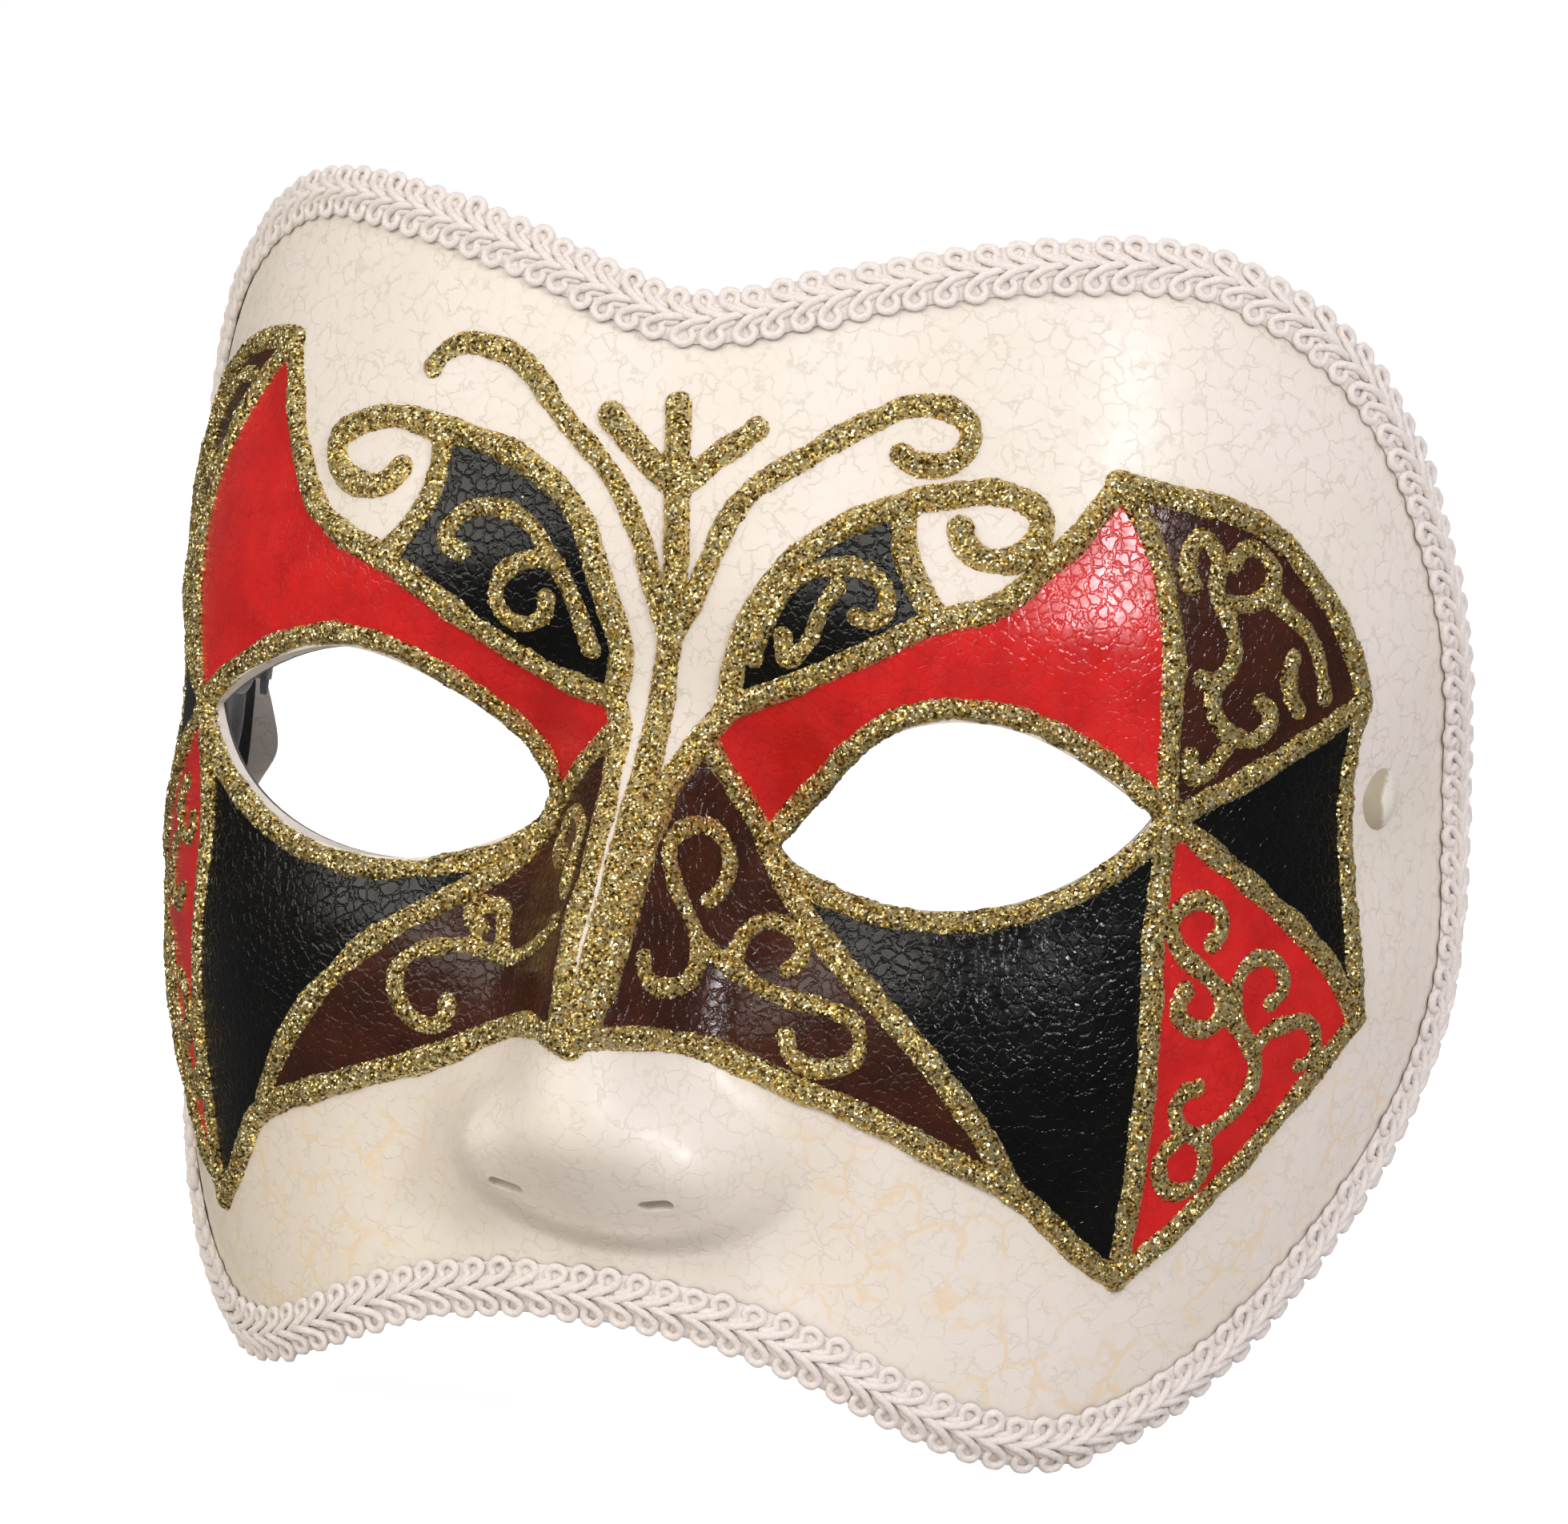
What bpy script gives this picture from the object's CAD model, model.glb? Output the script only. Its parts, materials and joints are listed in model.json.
"""The looks of the venetian half-mask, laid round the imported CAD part: crackled ivory lacquer,
wrinkled paint, piped glitter, looped gimp braid and ribbed elastic.

Shapes and patterns are in millimetres, and lamps and the floor are in metres."""

import json
from math import cos, pi, radians, sin

import bpy
import numpy as np
from mathutils import Matrix, Vector
from mathutils.bvhtree import BVHTree


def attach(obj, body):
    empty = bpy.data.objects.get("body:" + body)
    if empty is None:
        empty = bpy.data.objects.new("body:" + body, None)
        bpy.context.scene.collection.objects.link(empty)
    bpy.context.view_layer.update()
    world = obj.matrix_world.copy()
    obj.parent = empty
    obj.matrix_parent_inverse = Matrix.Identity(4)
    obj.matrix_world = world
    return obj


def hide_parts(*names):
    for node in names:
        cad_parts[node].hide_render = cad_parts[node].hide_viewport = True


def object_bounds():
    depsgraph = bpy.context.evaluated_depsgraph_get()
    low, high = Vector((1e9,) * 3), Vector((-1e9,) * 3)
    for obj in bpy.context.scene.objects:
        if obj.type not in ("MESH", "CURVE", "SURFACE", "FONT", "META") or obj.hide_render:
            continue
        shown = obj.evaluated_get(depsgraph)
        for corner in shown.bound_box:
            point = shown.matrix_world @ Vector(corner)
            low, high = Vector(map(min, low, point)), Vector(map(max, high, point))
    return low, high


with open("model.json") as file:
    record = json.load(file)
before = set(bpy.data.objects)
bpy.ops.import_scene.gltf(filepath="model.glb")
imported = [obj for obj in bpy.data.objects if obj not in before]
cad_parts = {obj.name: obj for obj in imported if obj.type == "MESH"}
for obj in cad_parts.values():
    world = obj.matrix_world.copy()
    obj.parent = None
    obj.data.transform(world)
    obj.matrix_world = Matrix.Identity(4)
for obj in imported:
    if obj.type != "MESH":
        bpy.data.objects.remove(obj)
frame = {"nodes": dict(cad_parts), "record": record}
cad_low, cad_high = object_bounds()
nodes = frame["nodes"]
slots = {part["node"]: part["material_slot"] for part in frame["record"]["subparts"]}
MM = 0.001
rng = np.random.default_rng(7)


# ---------------------------------------------------------------- shader helpers
def put(tree, socket, value):
    """Feed a shader input from another node, or give it a colour or a number."""
    if isinstance(value, bpy.types.NodeSocket):
        tree.links.new(value, socket)
    elif isinstance(value, tuple) and len(socket.default_value) == 4:
        socket.default_value = (*value, 1)
    else:
        socket.default_value = value


def add_node(tree, kind, *inputs, out=0, **values):
    """One output of a new shader node, which is fed by position and by name."""
    made = tree.nodes.new("ShaderNode" + kind)
    for key, value in values.items():
        if key in made.inputs:
            put(tree, made.inputs[key], value)
        else:
            setattr(made, key, value)
    for index, value in enumerate(inputs):
        put(tree, made.inputs[index], value)
    return made.outputs[out]


def spread(tree, value, low, high, start, end, kind="LINEAR"):
    """A value from low to high turned into one from start to end, and held there beyond."""
    limits = {"From Min": low, "From Max": high, "To Min": start, "To Max": end}
    return add_node(tree, "MapRange", value, interpolation_type=kind, **limits)


def tinted(colour, red, green, blue):
    """A colour with each of its channels scaled."""
    return (colour[0] * red, colour[1] * green, colour[2] * blue)


class Shader:
    """A material with one Principled surface. Its patterns lie in object space, in millimetres."""

    def __init__(self, name, **values):
        self.material = bpy.data.materials.new(name)
        self.material.use_nodes = True
        self.tree = self.material.node_tree
        self.tree.nodes.clear()
        output = self.tree.nodes.new("ShaderNodeOutputMaterial")
        self.surface = self.tree.nodes.new("ShaderNodeBsdfPrincipled")
        self.tree.links.new(self.surface.outputs[0], output.inputs[0])
        for key, value in values.items():
            self.set(key.replace("_", " "), value)
        coordinates = self.node("TexCoord", out="Object")
        self.place = self.vector("SCALE", coordinates, Scale=1 / MM)

    def set(self, key, value):
        put(self.tree, self.surface.inputs[key], value)

    def node(self, kind, *inputs, out=0, **values):
        return add_node(self.tree, kind, *inputs, out=out, **values)

    def math(self, operation, *inputs):
        return self.node("Math", *inputs, operation=operation)

    def vector(self, operation, *inputs, out=0, **values):
        return self.node("VectorMath", *inputs, out=out, operation=operation, **values)

    def times(self, first, *others):
        for other in others:
            first = self.math("MULTIPLY", first, other)
        return first

    def noise(self, size, detail=3.0, place=None, out=0):
        scale = 1 / size
        return self.node("TexNoise", place or self.place, out=out, Scale=scale, Detail=detail, Roughness=0.55)

    def cells(self, size, feature="F1", place=None, out=0):
        return self.node("TexVoronoi", place or self.place, out=out, feature=feature, Scale=1 / size)

    def cracks(self, size, width, place):
        """1 on the edges of ragged cells, falling to 0 away from them."""
        return self.ramp(self.cells(size, "DISTANCE_TO_EDGE", place), 0.01, width, 1, 0)

    def ramp(self, value, low, high, start=0.0, end=1.0):
        return spread(self.tree, value, low, high, start, end, "SMOOTHSTEP")

    def mix(self, share, first, second):
        made = self.tree.nodes.new("ShaderNodeMix")
        made.data_type = "RGBA"
        for index, value in ((0, share), (6, first), (7, second)):
            put(self.tree, made.inputs[index], value)
        return made.outputs[2]

    def warped(self, size, reach):
        """The place, pushed about by smooth noise, so that straight cells turn ragged."""
        push = self.vector("SUBTRACT", self.noise(size, 2.0, out=1), (0.5, 0.5, 0.5))
        return self.vector("ADD", self.place, self.vector("SCALE", push, Scale=reach))

    def openness(self, reach):
        """1 on open surfaces, falling to 0 in corners and slits narrower than the reach."""
        made = self.tree.nodes.new("ShaderNodeAmbientOcclusion")
        made.samples = 6
        made.inputs["Distance"].default_value = reach * MM
        return made.outputs["AO"]

    def bump(self, height, depth, normal=None):
        """The normal on a relief this deep for a height of 0 to 1, laid on another relief."""
        made = self.tree.nodes.new("ShaderNodeBump")
        made.inputs["Distance"].default_value = depth * MM
        self.tree.links.new(height, made.inputs["Height"])
        if normal is not None:
            self.tree.links.new(normal, made.inputs["Normal"])
        return made.outputs[0]


# ---------------------------------------------------------------- materials
IVORY = (0.855, 0.785, 0.715)
NOSE_MIDDLE = (3.0, 0.0, -45.2)
NOSE_HALF_WIDTH, NOSE_HALF_HEIGHT, NOSE_BULGE = 19.5, 10.8, 1.1


def ivory_lacquer():
    """Softly glossy lacquer: faint fine cracks above, wide yellow ones low on the cheeks."""
    shader = Shader("ivory_lacquer", Coat_Weight=0.12, Coat_Roughness=0.2)
    across = shader.node("SeparateXYZ", shader.place, out="X")
    height = shader.node("SeparateXYZ", shader.place, out="Z")
    low = shader.ramp(height, -34, -4, 1, 0)
    beside_nose = shader.ramp(shader.math("ABSOLUTE", across), 12, 28)

    fine_patches = shader.ramp(shader.noise(2.4), 0.38, 0.6, 0.15, 1)
    fine = shader.times(shader.cracks(2.3, 0.07, shader.warped(1.3, 2.0)), fine_patches)
    wide_patches = shader.ramp(shader.noise(8), 0.42, 0.6, 0.1, 1)
    wide = shader.times(shader.cracks(5.4, 0.09, shader.warped(3.2, 3.4)), wide_patches, low, beside_nose)

    cloud = shader.ramp(shader.noise(14), 0.3, 0.7)
    ground = shader.mix(cloud, IVORY, tinted(IVORY, 0.97, 0.97, 0.93))
    aged = shader.times(low, shader.ramp(across, -60, 30, 0.9, 0))
    ground = shader.mix(aged, ground, tinted(IVORY, 0.96, 0.95, 0.86))
    faint = shader.times(fine, shader.ramp(height, -40, 0, 0.22, 0.36))
    lacquer = shader.mix(faint, ground, tinted(IVORY, 0.62, 0.58, 0.48))
    lacquer = shader.mix(shader.times(wide, 0.55), lacquer, tinted(IVORY, 1.0, 0.84, 0.55))

    # dust in the corners, and dark nostril slits
    openness = shader.openness(1.6)
    dust = shader.ramp(openness, 0.3, 0.9, 1, 0)
    lacquer = shader.mix(dust, lacquer, tinted(IVORY, 0.68, 0.68, 0.68))
    on_nose = shader.math("SUBTRACT", 1.0, beside_nose)
    slit = shader.times(shader.ramp(openness, 0.1, 0.55, 1, 0), on_nose)
    shader.set("Base Color", shader.mix(slit, lacquer, (0.03, 0.026, 0.02)))
    shader.set("Roughness", shader.ramp(shader.noise(1.8), 0.3, 0.7, 0.36, 0.5))

    # the crease round the wings of the nose, then the cracks, then a slight orange peel
    from_nose = shader.vector("SUBTRACT", shader.place, NOSE_MIDDLE)
    from_nose = shader.vector("MULTIPLY", from_nose, (1 / NOSE_HALF_WIDTH, 0.0, 1 / NOSE_HALF_HEIGHT))
    from_nose = shader.vector("LENGTH", from_nose, out="Value")
    bulge = shader.times(shader.ramp(from_nose, 0.80, 1.08, 1, 0), shader.ramp(height, -46, -34, 1, 0))
    uncracked = shader.math("SUBTRACT", 1.0, shader.math("MAXIMUM", fine, wide))
    relief = shader.bump(uncracked, 0.03, shader.bump(bulge, NOSE_BULGE))
    shader.set("Normal", shader.bump(shader.noise(1.1, 2), 0.04, relief))
    return shader.material


def rivet_lacquer():
    """The ivory of the rivet heads, stained brown round the rim and a little pitted."""
    shader = Shader("rivet_ivory", Roughness=0.3, Coat_Weight=0.5, Coat_Roughness=0.1)
    radius = shader.vector("LENGTH", shader.vector("MULTIPLY", shader.place, (0.0, 1.0, 1.0)), out="Value")
    stain = shader.ramp(shader.math("ADD", radius, shader.noise(1.2)), 3.3, 4.0, 0, 0.75)
    pits = shader.times(shader.ramp(shader.noise(0.5), 0.62, 0.7), 0.5)
    ground = shader.mix(shader.noise(1.5), (0.86, 0.82, 0.71), (0.80, 0.76, 0.65))
    shader.set("Base Color", shader.mix(shader.math("MAXIMUM", stain, pits), ground, (0.36, 0.29, 0.17)))
    shader.set("Normal", shader.bump(shader.noise(1.1, 2), 0.05))
    return shader.material


WRINKLE, FLECK = 1.35, 1.5  # sizes of the paint's wrinkles, and spacing of the stray flecks


def paint(name, colour, streak, gloss, depth):
    """Thick glossy paint that dried into leathery wrinkles, with a few flecks of stray glitter."""
    shader = Shader(name)
    ragged = shader.warped(1.2, 1.3)
    edge = shader.cells(WRINKLE, "DISTANCE_TO_EDGE", ragged)
    folds = shader.ramp(edge, 0.0, 0.16)
    height = shader.math("ADD", shader.times(folds, 0.6), shader.times(shader.noise(0.8, 3, ragged), 0.5))
    tint = shader.mix(shader.ramp(shader.noise(6), 0.3, 0.7), colour, streak)
    crease_patches = shader.ramp(shader.noise(4), 0.4, 0.6, 0.05, 0.4)
    creases = shader.times(shader.ramp(edge, 0.0, 0.06, 1, 0), crease_patches)
    tint = shader.mix(creases, tint, tinted(colour, 0.35, 0.35, 0.35))
    chance = shader.node("SeparateColor", shader.cells(FLECK, out=1))
    spots = shader.ramp(shader.cells(FLECK), 0.05, 0.09, 1, 0)
    flecks = shader.times(spots, shader.math("GREATER_THAN", chance, 0.93))
    shader.set("Base Color", shader.mix(flecks, tint, (0.8, 0.62, 0.3)))
    shader.set("Metallic", flecks)
    shader.set("Roughness", shader.ramp(shader.noise(2.2), 0.3, 0.7, gloss - 0.05, gloss + 0.08))
    shader.set("Normal", shader.bump(height, depth))
    return shader.material


FLAKE, FLAKE_TILT = 0.26, 1.5


def glitter():
    """Loose metal flakes in clear glue: each small cell has its own tilt and tone of gold."""
    shader = Shader("gold_glitter", Metallic=0.85, Roughness=0.3)
    own = shader.cells(FLAKE, out=1)
    tone = shader.node("SeparateColor", own)
    gold = shader.mix(shader.ramp(tone, 0.08, 0.48), (0.20, 0.11, 0.02), (1.0, 0.71, 0.19))
    gold = shader.mix(shader.ramp(tone, 0.45, 0.75), gold, (1.0, 0.91, 0.54))
    shader.set("Base Color", gold)
    tilt = shader.vector("SCALE", shader.vector("SUBTRACT", own, (0.5, 0.5, 0.5)), Scale=FLAKE_TILT)
    facing = shader.node("NewGeometry", out="Normal")
    shader.set("Normal", shader.vector("NORMALIZE", shader.vector("ADD", facing, tilt)))
    return shader.material


def cord(name, colour, shade, thread):
    """Soft satin thread: fine streaks, a little sheen and a warm dusty shade."""
    shader = Shader(name, Roughness=0.6, Sheen_Weight=0.3)
    streaks = shader.noise(thread, 2)
    shader.set("Base Color", shader.mix(shader.ramp(streaks, 0.3, 0.7), shade, colour))
    shader.set("Normal", shader.bump(streaks, 0.06))
    return shader.material


def flock():
    """The short dark fibres of the lining."""
    shader = Shader("dark_lining", Roughness=0.95, Sheen_Weight=0.5)
    fibres = shader.noise(0.35, 4)
    shader.set("Base Color", shader.mix(fibres, (0.010, 0.010, 0.011), (0.06, 0.058, 0.055)))
    shader.set("Normal", shader.bump(fibres, 0.15))
    return shader.material


def scratched_steel():
    shader = Shader("washer_steel", Metallic=1.0)
    scratches = shader.noise(0.4, 4)
    shader.set("Base Color", shader.mix(scratches, (0.42, 0.42, 0.43), (0.66, 0.66, 0.67)))
    shader.set("Roughness", shader.ramp(scratches, 0.3, 0.7, 0.25, 0.45))
    shader.set("Normal", shader.bump(scratches, 0.02))
    return shader.material


materials = {
    "ivory_lacquer": ivory_lacquer(),
    "rivet_ivory": rivet_lacquer(),
    "red_paint": paint("red_paint", (0.68, 0.016, 0.014), (0.54, 0.011, 0.011), 0.20, 0.045),
    "black_paint": paint("black_paint", (0.0015, 0.0015, 0.0015), (0.003, 0.003, 0.0025), 0.20, 0.09),
    "brown_paint": paint("brown_paint", (0.060, 0.014, 0.006), (0.034, 0.009, 0.004), 0.20, 0.10),
    "gold_glitter": glitter(),
    "braid": cord("braid", (0.88, 0.83, 0.79), (0.78, 0.71, 0.65), 0.3),
    "elastic": cord("elastic", (0.80, 0.76, 0.68), (0.60, 0.55, 0.47), 0.22),
    "dark_lining": flock(),
    "washer_steel": scratched_steel(),
}
for name, node in nodes.items():
    node.data.materials.clear()
    node.data.materials.append(materials[slots[name]])


# ---------------------------------------------------------------- mesh helpers
def unit(vectors):
    return vectors / np.linalg.norm(vectors, axis=-1, keepdims=True)


def run_length(line):
    """Distance from a line's start to each of its points."""
    return np.r_[0, np.cumsum(np.linalg.norm(np.diff(line, axis=0), axis=1))]


def smooth_line(controls, count):
    """A Catmull-Rom curve through control points, evenly spaced by length."""
    controls = np.array(controls, float)
    padded = np.vstack([2 * controls[0] - controls[1], controls, 2 * controls[-1] - controls[-2]])
    t = np.linspace(0, 1, 24, endpoint=False)[:, None]
    parts = []
    for i in range(len(controls) - 1):
        a, b, c, d = padded[i : i + 4]
        square, cube = 2 * a - 5 * b + 4 * c - d, 3 * b - a - 3 * c + d
        parts.append(0.5 * (2 * b + (c - a) * t + square * t**2 + cube * t**3))
    line = np.vstack([*parts, controls[-1:]])
    travel = run_length(line)
    even = np.linspace(0, travel[-1], count)
    return np.stack([np.interp(even, travel, column) for column in line.T], axis=1)


def skin(start, rings, sides, closed=False, flipped=False):
    """Faces over a run of rings of points. A closed run joins up, and an open one gets end caps."""
    faces = []
    for k in range(rings if closed else rings - 1):
        near, far = start + k * sides, start + (k + 1) % rings * sides
        for j in range(sides):
            beside = (j + 1) % sides
            faces.append((near + j, near + beside, far + beside, far + j))
    if not closed:
        last = start + (rings - 1) * sides
        faces.append(tuple(reversed(range(start, start + sides))))
        faces.append(tuple(range(last, last + sides)))
    return [face[::-1] for face in faces] if flipped else faces


def add_piece(name, mesh, material, body, replaced):
    """Put a mesh on a body, in place of a CAD node."""
    mesh.materials.clear()
    mesh.materials.append(materials[material])
    mesh.update()
    piece = bpy.data.objects.new(name, mesh)
    bpy.context.scene.collection.objects.link(piece)
    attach(piece, body)
    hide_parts(replaced)


def smooth_mesh(name, points, faces):
    mesh = bpy.data.meshes.new(name)
    mesh.from_pydata([tuple(point) for point in points], [], faces)
    mesh.polygons.foreach_set("use_smooth", [True] * len(mesh.polygons))
    return mesh


def vertex_values(mesh, key):
    values = np.zeros(len(mesh.vertices) * 3)
    mesh.vertices.foreach_get(key, values)
    return values.reshape(-1, 3)


# ---------------------------------------------------------------- glitter lines
AXIS = Vector((0, 0.025, 0))  # the wall curves round this upright axis, in metres
VOXEL = 0.34
# growth of the bead, height of its lumps, spread of its flakes' heights and of their corners' shifts
LIFT, LUMP, ROUGH, JITTER = 0.16, 0.05, 0.055, 0.03
LUMP_SIZES = (0.7, 0.9, 1.2, 0.6, 1.6, 0.8)
BURIED = 0.2  # a bead is buried where it faces the mask's axis more than this
DRAWN_UP = 0.75  # how far the buried side is drawn up, so that it stays inside the wall


def remeshed(source):
    """An even copy of a CAD bead's mesh."""
    copy = bpy.data.objects.new("bead_source", source.data.copy())
    bpy.context.scene.collection.objects.link(copy)
    remesh = copy.modifiers.new("remesh", "REMESH")
    remesh.mode = "VOXEL"
    remesh.voxel_size = VOXEL * MM
    graph = bpy.context.evaluated_depsgraph_get()
    mesh = bpy.data.meshes.new_from_object(copy.evaluated_get(graph))
    bpy.data.objects.remove(copy)
    return mesh


def glitter_piece(name):
    """The CAD line remade as a lumpy bead whose small flat faces are flakes of glitter."""
    mesh = remeshed(nodes[name])
    points = vertex_values(mesh, "co")
    normals = vertex_values(mesh, "normal")
    ways = unit(rng.normal(size=(len(LUMP_SIZES), 3)))
    waves = sum(
        np.sin(points @ way / (size * MM) + turn) for turn, (way, size) in enumerate(zip(ways, LUMP_SIZES))
    )
    lift = LUMP * waves + rng.normal(0, ROUGH, len(points)) + LIFT
    outward = unit((points - np.array(AXIS)) * (1, 1, 0))
    buried = np.clip(-np.sum(normals * outward, axis=1), 0, 1)
    points += normals * (lift * (buried < BURIED))[:, None] * MM
    points += rng.normal(0, JITTER, points.shape) * MM
    points += outward * (buried * DRAWN_UP)[:, None] * MM
    mesh.vertices.foreach_set("co", points.ravel())
    mesh.polygons.foreach_set("use_smooth", [False] * len(mesh.polygons))
    add_piece("glitter_" + name, mesh, "gold_glitter", "mask", name)


for name in sorted(nodes):
    if slots[name] == "gold_glitter":
        glitter_piece(name)


# ---------------------------------------------------------------- looped braid round the edge
INSET = 2.7  # the braid's middle lies this far in from the shell's edge
SPACING = 3.2  # from loop to loop, about
CORD, CORD_TWIST, STRAND = 0.45, 4.2, 0.10  # cord radius, its turn per millimetre, depth of its strands
CORD_SIDES, STRANDS, CORD_END = 9, 3, 0.75  # the last is the share of the radius left at a cord's ends
CORD_RINGS = 44
WOBBLE = (0.05, 0.12, 0.06)  # spread of a loop's width, of its place along the braid and of its lift
TURNS = 720  # directions round the mask in which the edge is found
OVAL_WIDTH, OVAL_HEIGHT, OVAL_MIDDLE = 92, 76, -6  # an oval round the mask: degrees, and heights
SHARES = np.linspace(1.15, 0.55, 481)  # sizes of that oval, from outside the edge inwards
MIDDLE_ROUNDS, NORMAL_ROUNDS = 14, 30  # rounds of softening for the braid's middle and its normals
REACH = 0.6  # the braid's direction is taken this far ahead and behind
# one loop of cord, as (along the braid, out from its middle, off the shell)
LOOP = [
    (-3.5, -0.15, 0.70), (-2.3, 0.10, 1.15), (-1.1, 0.42, 1.32), (-0.1, 0.86, 1.15), (0.75, 1.36, 0.85),
    (1.18, 2.0, 0.62), (0.92, 2.62, 0.56), (0.2, 2.88, 0.54), (-0.55, 2.6, 0.54), (-0.85, 1.98, 0.58),
    (-0.6, 1.38, 0.66), (-0.95, 0.98, 0.74), (-1.7, 0.72, 0.66), (-2.4, 0.55, 0.5),
]  # fmt: skip
# the section of the woven tape under the loops, as (across the braid, off the shell)
TAPE_HALF = [(0.9, 0.62), (1.9, 0.44), (2.7, 0.3), (2.75, 0.12)]
TAPE = [(-across, lift) for across, lift in reversed(TAPE_HALF)] + [(0, 0.78)] + TAPE_HALF
TAPE_STEPS, TAPE_WEAVE, TAPE_EDGE = 2000, 0.05, 0.2  # the weave stops where the tape is this low

shell = BVHTree.FromObject(nodes["mask_shell"], bpy.context.evaluated_depsgraph_get())


def met_from_outside(angle, z):
    """The first point of the shell met on the way in to the mask's upright axis, and its normal."""
    out = Vector((sin(radians(angle)), -cos(radians(angle)), 0))
    start = AXIS + out * 0.2 + Vector((0, 0, z * MM))
    place, normal, _, _ = shell.ray_cast(start, -out, 0.2)
    return place, normal


def band_middle(turn):
    """Middle of the braid in one direction round the mask, and the shell's normal there."""
    edge = None
    for share in SHARES:
        height = OVAL_HEIGHT * share * sin(turn) + OVAL_MIDDLE
        place, normal = met_from_outside(OVAL_WIDTH * share * cos(turn), height)
        if place is None:
            continue
        if edge is None:
            edge = place
        if (place - edge).length > INSET * MM:
            return np.array(place), np.array(normal)
    raise RuntimeError("the shell has no edge in this direction")


def softened(values, rounds):
    """A closed run of values with its small steps smoothed away."""
    for _ in range(rounds):
        values = (np.roll(values, 1, 0) + values * 2 + np.roll(values, -1, 0)) / 4
    return values


def closed(values):
    return np.vstack([values, values[:1]])


edge_ring = [band_middle(2 * pi * k / TURNS) for k in range(TURNS)]
ring_middle = closed(softened(np.array([place for place, _ in edge_ring]), MIDDLE_ROUNDS))
ring_normal = closed(unit(softened(np.array([normal for _, normal in edge_ring]), NORMAL_ROUNDS)))
ring_travel = run_length(ring_middle) / MM
LENGTH = ring_travel[-1]
LOOPS = round(LENGTH / SPACING)
PITCH = LENGTH / LOOPS


def on_ring(values, along):
    """Values round the ring at these distances along it."""
    along = np.mod(along, LENGTH)
    return np.stack([np.interp(along, ring_travel, column) for column in values.T], axis=-1)


def on_band(along, across, lift):
    """Places on the braid: along it, across it (out from the mask is positive) and off the shell."""
    run = unit(on_ring(ring_middle, along + REACH) - on_ring(ring_middle, along - REACH))
    side = unit(np.cross(run, unit(on_ring(ring_normal, along))))
    up = np.cross(side, run)
    return on_ring(ring_middle, along) + side * (across * MM)[..., None] + up * (lift * MM)[..., None]


def cord_loop(along, sign, wobble):
    """Rings of points round one teardrop of twisted cord, which leans out from the braid's middle."""
    line_along, line_across, line_lift = smooth_line(LOOP, CORD_RINGS).T
    line_across = sign * line_across * (1 + wobble[0])
    places = on_band(along + line_along + wobble[1], line_across, line_lift + wobble[2])
    run = unit(np.gradient(places, axis=0))
    side = unit(np.cross(run, ring_normal[np.searchsorted(ring_travel, along % LENGTH) % TURNS]))
    up = np.cross(side, run)
    taper = np.ones(CORD_RINGS)
    taper[[0, -1]] = CORD_END
    turn = 2 * pi * np.arange(CORD_SIDES) / CORD_SIDES
    twist = run_length(places)[:, None] / MM * CORD_TWIST
    radius = CORD * MM * taper[:, None] * (1 + STRAND * np.cos(STRANDS * turn - twist))
    around = side[:, None] * np.cos(turn)[:, None] + up[:, None] * np.sin(turn)[:, None]
    return (places[:, None] + around * radius[..., None]).reshape(-1, 3)


def tape():
    """Rings of points round the woven tape, all the way along the braid."""
    along = np.arange(TAPE_STEPS) / TAPE_STEPS * LENGTH
    weave = TAPE_WEAVE * np.where(np.arange(TAPE_STEPS) % 2, 1, -1)
    columns = []
    for across, lift in TAPE:
        woven = lift + weave * (lift > TAPE_EDGE)
        columns.append(on_band(along, np.full(TAPE_STEPS, across), woven))
    return np.stack(columns, axis=1).reshape(-1, 3)


def gimp_braid():
    points, faces = [], []
    for number in range(LOOPS):
        for sign, share in ((1, 0), (-1, 0.5)):
            faces += skin(len(points), CORD_RINGS, CORD_SIDES)
            points.extend(cord_loop((number + share) * PITCH, sign, rng.normal(size=3) * WOBBLE))
    faces += skin(len(points), TAPE_STEPS, len(TAPE), closed=True)
    points.extend(tape())
    add_piece("gimp_braid", smooth_mesh("gimp_braid", points, faces), "braid", "mask", "edge_braid")


gimp_braid()


# ---------------------------------------------------------------- ribbed elastic strap
RISE = radians(38)  # the strap's plane above level at rest
# half of the strap, as (to the side, away from the pivots)
STRAP_HALF = [(0, 76), (24, 72), (46, 59), (60, 40), (65.5, 22), (67, 9), (67, 0)]
WIDTH, THICKNESS, RIBS, RIB_STEPS = 6.0, 0.8, 8, 5
STRAP_RINGS = 700
TAB_OUT, TAB_STEPS = 67, 64
# the punched tab at the rivet, a ribbed ring, as (radius, half thickness)
TAB = [(1.8, 0.40), (2.0, 0.46), (2.4, 0.40), (2.8, 0.46), (3.2, 0.40), (3.4, 0.25)]
TAB_SECTION = TAB + [(radius, -depth) for radius, depth in reversed(TAB)]


def strap_section():
    """Section of the band, as (height, depth): ribs on both faces and thin edges."""
    section = []
    for face in (1, -1):
        for k in range(RIBS * RIB_STEPS + 1):
            share = k / (RIBS * RIB_STEPS)
            rib = 0.86 - 0.14 * cos(2 * pi * share * RIBS)
            edge = min(1, 8 * min(share, 1 - share) + 0.45)
            section.append((face * (share - 0.5) * WIDTH, face * THICKNESS / 2 * edge * rib))
    return section


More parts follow.
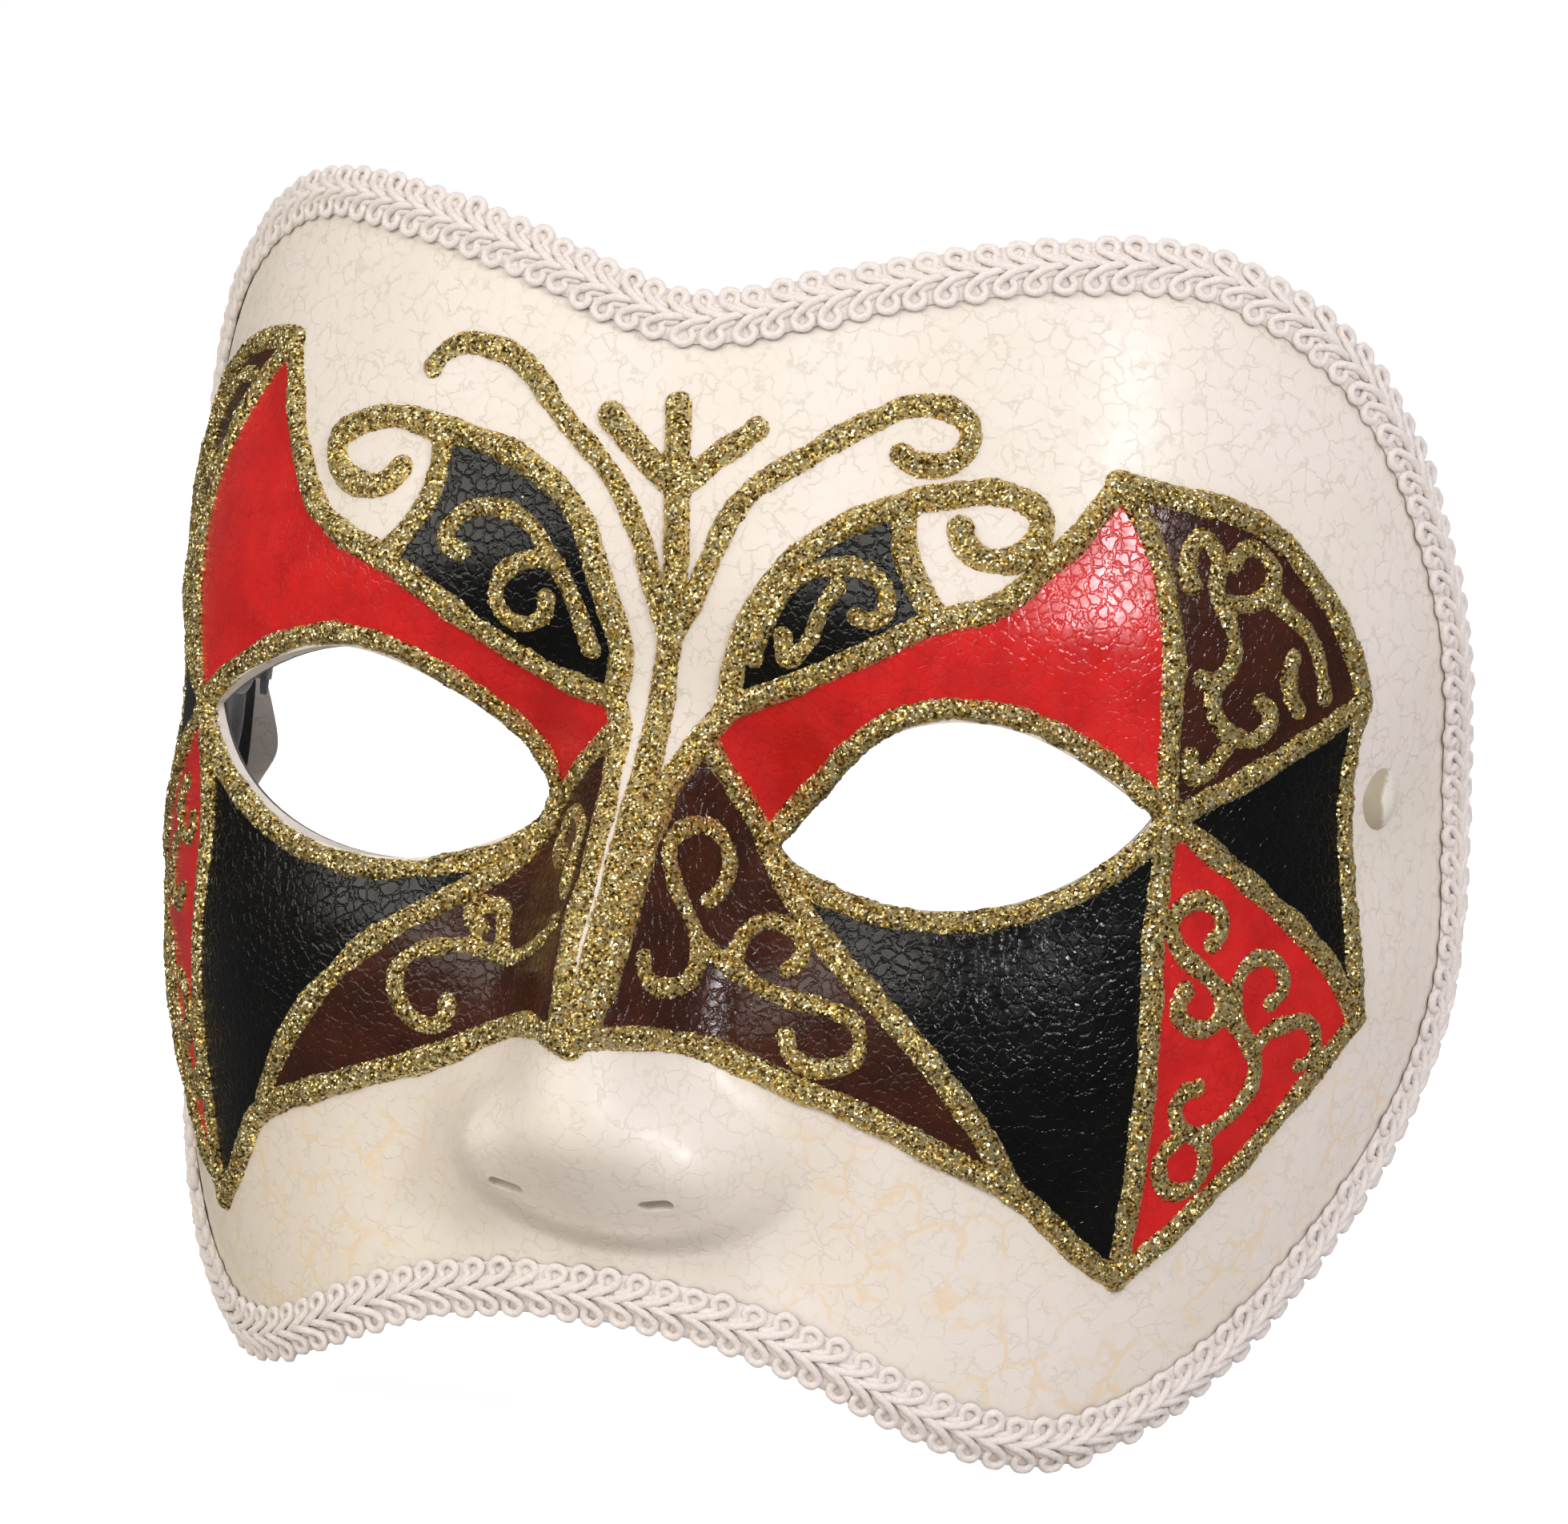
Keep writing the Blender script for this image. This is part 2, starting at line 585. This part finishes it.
def band_points(section):
    """The section carried along the strap's path, with a slight weave."""
    away_dir = np.array([0, cos(RISE), sin(RISE)])
    height_dir = np.array([0, -sin(RISE), cos(RISE)])
    half = np.array(STRAP_HALF, float)
    path = smooth_line(np.vstack([half[:0:-1] * (-1, 1), half]), STRAP_RINGS)
    run = unit(np.gradient(path, axis=0))
    points = []
    for k, (x, away) in enumerate(path):
        depth_dir = np.array([run[k][1], 0, 0]) - away_dir * run[k][0]
        weave = 1 + 0.05 * (-1) ** (k // 2)
        middle = np.array([x, 0, 0]) + away_dir * away
        for height, depth in section:
            points.append((middle + height_dir * height + depth_dir * depth * weave) * MM)
    return points


def tab_points(sign):
    points = []
    for k in range(TAB_STEPS):
        turn = 2 * pi * k / TAB_STEPS
        for radius, depth in TAB_SECTION:
            points.append(np.array([sign * TAB_OUT + depth, radius * cos(turn), radius * sin(turn)]) * MM)
    return points


def ribbed_elastic():
    section = strap_section()
    points = band_points(section)
    faces = skin(0, STRAP_RINGS, len(section), flipped=True)
    for sign in (1, -1):
        faces += skin(len(points), TAB_STEPS, len(TAB_SECTION), closed=True)
        points += tab_points(sign)
    mesh = smooth_mesh("ribbed_elastic", points, faces)
    add_piece("ribbed_elastic", mesh, "elastic", "strap", "elastic_strap")


ribbed_elastic()


# ---------------------------------------------------------------- camera
AZIMUTH, ELEVATION, ROLL = radians(20), radians(3.3), radians(5.5)
TARGET, DISTANCE = np.array([0, -31.4, -2.6]), 900.0
ASIDE, ABOVE = 11.521, -0.704  # how far the camera is right of and above the line to the target
LENS, SENSOR = 188.049, 36.0


def add_camera():
    back = np.array([sin(AZIMUTH) * cos(ELEVATION), -cos(AZIMUTH) * cos(ELEVATION), sin(ELEVATION)])
    level = np.array([cos(AZIMUTH), sin(AZIMUTH), 0])
    upright = np.cross(back, level)
    right = level * cos(ROLL) + upright * sin(ROLL)
    up = -level * sin(ROLL) + upright * cos(ROLL)
    place = (TARGET + back * DISTANCE + right * ASIDE + up * ABOVE) * MM
    data = bpy.data.cameras.new("camera")
    data.sensor_width = SENSOR
    data.lens = LENS
    camera = bpy.data.objects.new("camera", data)
    bpy.context.scene.collection.objects.link(camera)
    camera.matrix_world = Matrix([*zip(right, up, back, place), (0, 0, 0, 1)])
    bpy.context.scene.camera = camera


add_camera()


# ---------------------------------------------------------------- floor, lamps and sky
FLOOR_DROP, FLOOR_HALF = 0.004, 30  # the floor's gap under the part and its half side


def softbox(name, place, size, radiance, tint=(1, 1, 1)):
    """A rectangular lamp of one radiance all over, turned to the origin."""
    data = bpy.data.lights.new(name, "AREA")
    data.shape = "RECTANGLE"
    data.size, data.size_y = size
    data.energy = radiance * pi * size[0] * size[1]
    data.color = tint
    lamp = bpy.data.objects.new(name, data)
    bpy.context.scene.collection.objects.link(lamp)
    lamp.location = place
    lamp.rotation_mode = "QUATERNION"
    lamp.rotation_quaternion = (-Vector(place)).to_track_quat("-Z", "Y")


def floor_material():
    """Pale and even to the camera, a mid tone for bounced light, and dark in reflections."""
    shader = Shader("floor", Roughness=0.9, Specular_IOR_Level=0.1)
    looked_at = shader.node("LightPath", out="Is Camera Ray")
    mirrored = shader.node("LightPath", out="Is Glossy Ray")
    others = shader.mix(mirrored, (0.62, 0.60, 0.58), (0.10, 0.10, 0.10))
    shader.set("Base Color", shader.mix(looked_at, others, (0.9, 0.9, 0.9)))
    shader.set("Emission Color", (1.0, 1.0, 1.0))
    shader.set("Emission Strength", shader.times(looked_at, 0.62))
    return shader.material


def add_floor():
    corners = [(-1, -1), (1, -1), (1, 1), (-1, 1)]
    height = cad_low.z - FLOOR_DROP
    mesh = bpy.data.meshes.new("floor")
    mesh.from_pydata([(x * FLOOR_HALF, y * FLOOR_HALF, height) for x, y in corners], [], [(0, 1, 2, 3)])
    mesh.materials.append(floor_material())
    floor = bpy.data.objects.new("floor", mesh)
    bpy.context.scene.collection.objects.link(floor)


def add_sky():
    """Plain white to the camera. As light, brighter from above, warm from the left, dim in reflections."""
    world = bpy.data.worlds.new("studio")
    bpy.context.scene.world = world
    world.use_nodes = True
    tree = world.node_tree
    tree.nodes.clear()

    way = add_node(tree, "TexCoord", out="Generated")
    across = add_node(tree, "SeparateXYZ", way, out="X")
    height = add_node(tree, "SeparateXYZ", way, out="Z")
    looked_at = add_node(tree, "LightPath", out="Is Camera Ray")
    mirrored = add_node(tree, "LightPath", out="Is Glossy Ray")
    strength = spread(tree, height, -0.6, 0.8, 0.43, 0.66)
    dimmer = spread(tree, mirrored, 0, 1, 1.0, 0.2)
    dimmed = add_node(tree, "Math", strength, dimmer, operation="MULTIPLY")
    green = spread(tree, across, -1, 1, 0.94, 0.965)
    blue = spread(tree, across, -1, 1, 0.88, 1.06)
    tint = add_node(tree, "CombineColor", 1.0, green, blue)
    lighting = add_node(tree, "Background", tint, dimmed)
    seen = add_node(tree, "Background", (1.0, 1.0, 1.0), 1.0)
    blend = add_node(tree, "MixShader", looked_at, lighting, seen)
    output = tree.nodes.new("ShaderNodeOutputWorld")
    tree.links.new(blend, output.inputs[0])


softbox("key", (-0.59, -1.26, 0.58), (1.9, 0.65), 2.55, (1.0, 0.96, 0.88))
softbox("top_right", (0.97, -0.97, 0.58), (0.28, 0.26), 30.0, (0.97, 0.97, 1.0))
softbox("rear_fill", (0.2, 1.3, 0.9), (1.2, 0.8), 1.2)
add_floor()
add_sky()
bpy.context.scene.view_settings.view_transform = "Standard"
